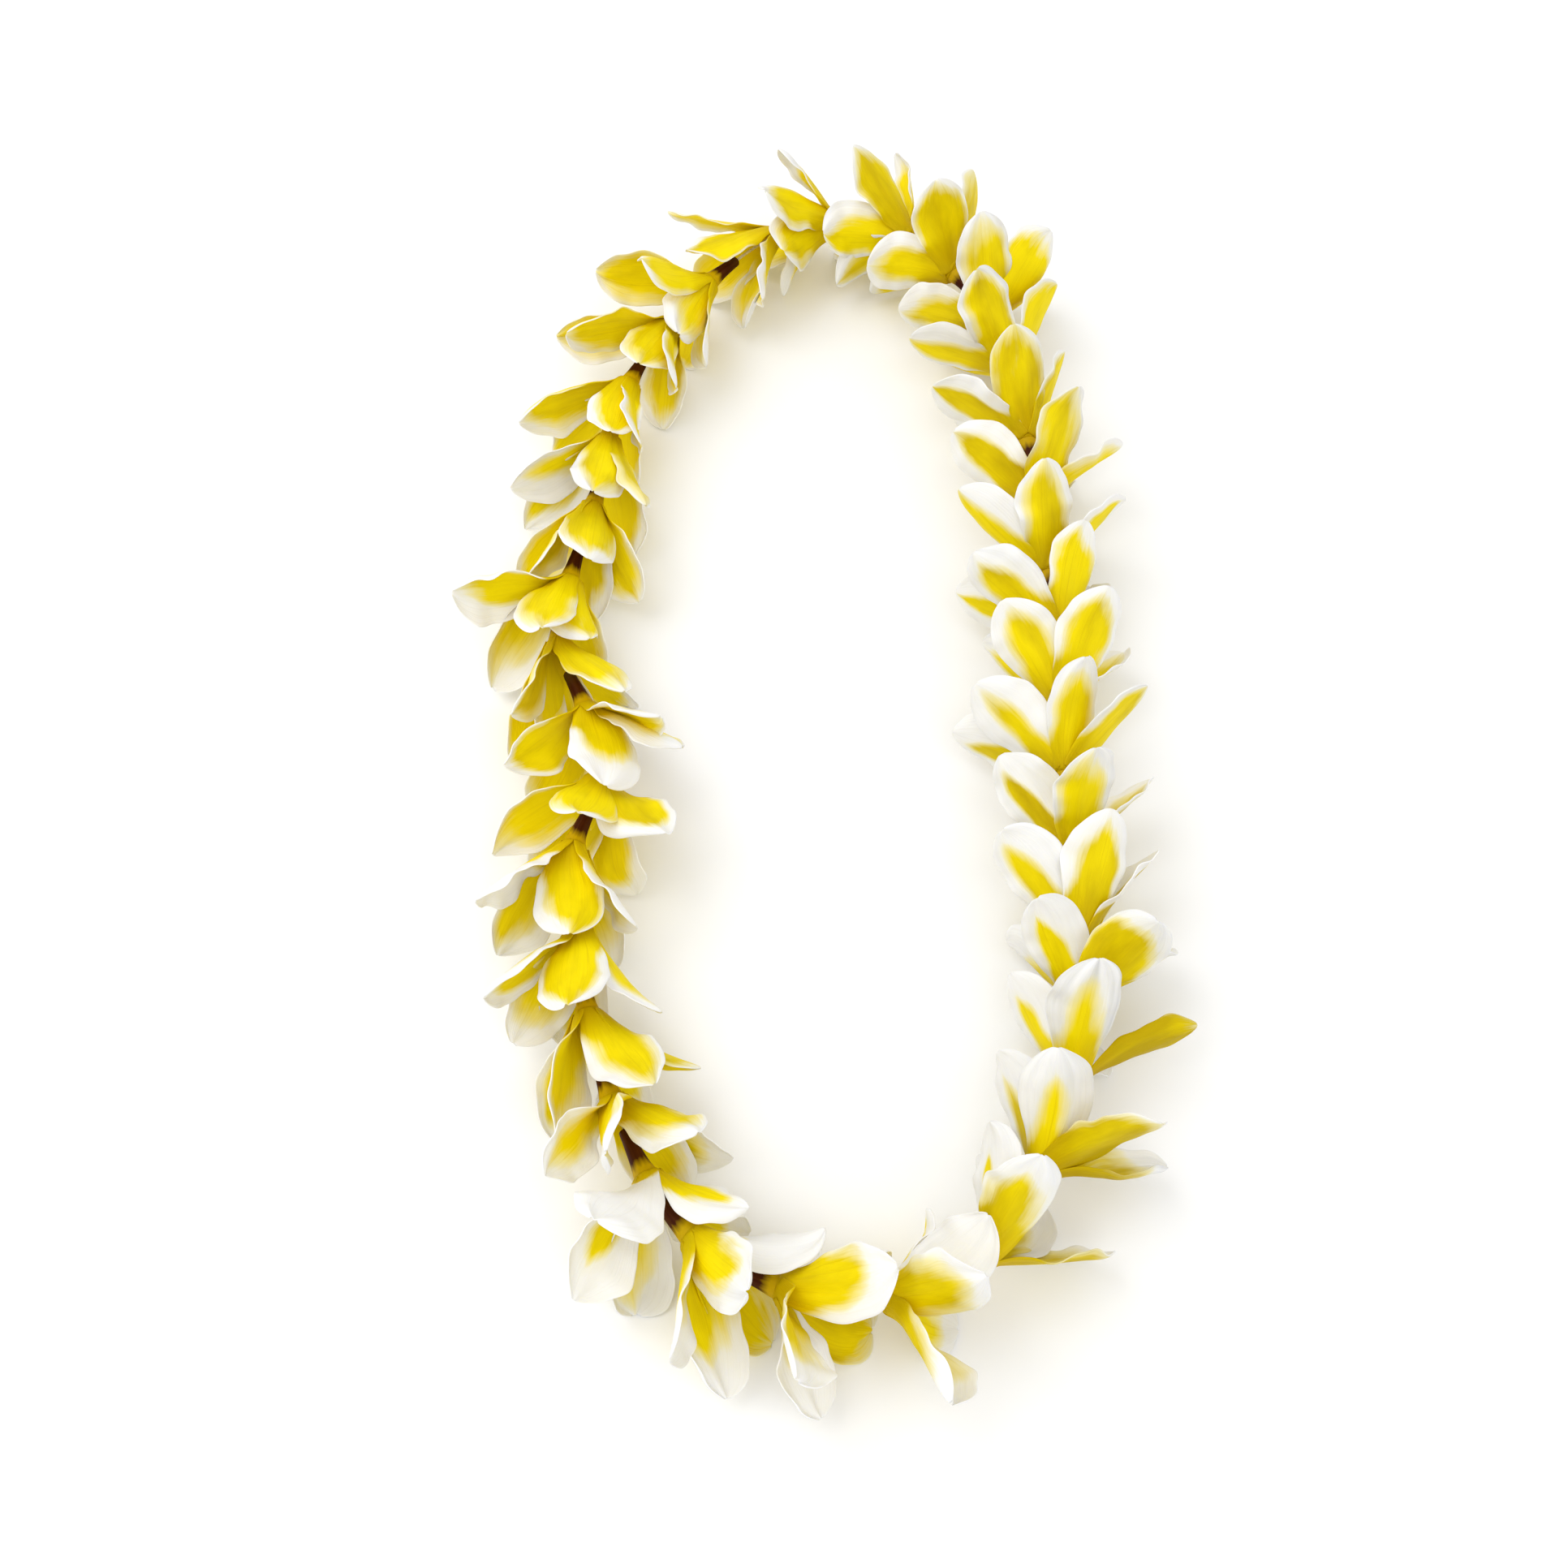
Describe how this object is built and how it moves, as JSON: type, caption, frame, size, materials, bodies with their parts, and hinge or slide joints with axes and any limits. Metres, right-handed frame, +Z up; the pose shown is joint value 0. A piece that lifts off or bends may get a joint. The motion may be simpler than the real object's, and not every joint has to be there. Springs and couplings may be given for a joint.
{
  "type": "fresh flower lei",
  "caption": "Long closed loop of fresh yellow and white plumeria blooms, threaded tube into throat on a tied string and laid flat.",
  "frame": {"origin": "middle of the lei's bounding box, on the surface that it lies on", "axes": "+Z up off the surface, +Y along the loop's long direction, +X across the loop to the right as seen from above"},
  "size_m": [0.2441, 0.4996, 0.0625],
  "materials": {
    "bloom": "waxy satin petal, yellow with white edges",
    "string": "twisted cotton thread"
  },
  "bodies": {
    "root": {"bloom_01": "bloom", "bloom_02": "bloom", "bloom_03": "bloom", "bloom_04": "bloom", "bloom_05": "bloom", "bloom_06": "bloom", "bloom_07": "bloom", "bloom_08": "bloom", "bloom_09": "bloom", "bloom_10": "bloom", "bloom_11": "bloom", "bloom_12": "bloom", "bloom_13": "bloom", "bloom_14": "bloom", "bloom_15": "bloom", "bloom_16": "bloom", "bloom_17": "bloom", "bloom_18": "bloom", "bloom_19": "bloom", "bloom_20": "bloom", "bloom_21": "bloom", "bloom_22": "bloom", "bloom_23": "bloom", "bloom_24": "bloom", "bloom_25": "bloom", "bloom_26": "bloom", "bloom_27": "bloom", "bloom_28": "bloom", "bloom_29": "bloom", "bloom_30": "bloom", "bloom_31": "bloom", "bloom_32": "bloom", "bloom_33": "bloom", "bloom_34": "bloom", "bloom_35": "bloom", "string": "string"}
  },
  "joints": []
}
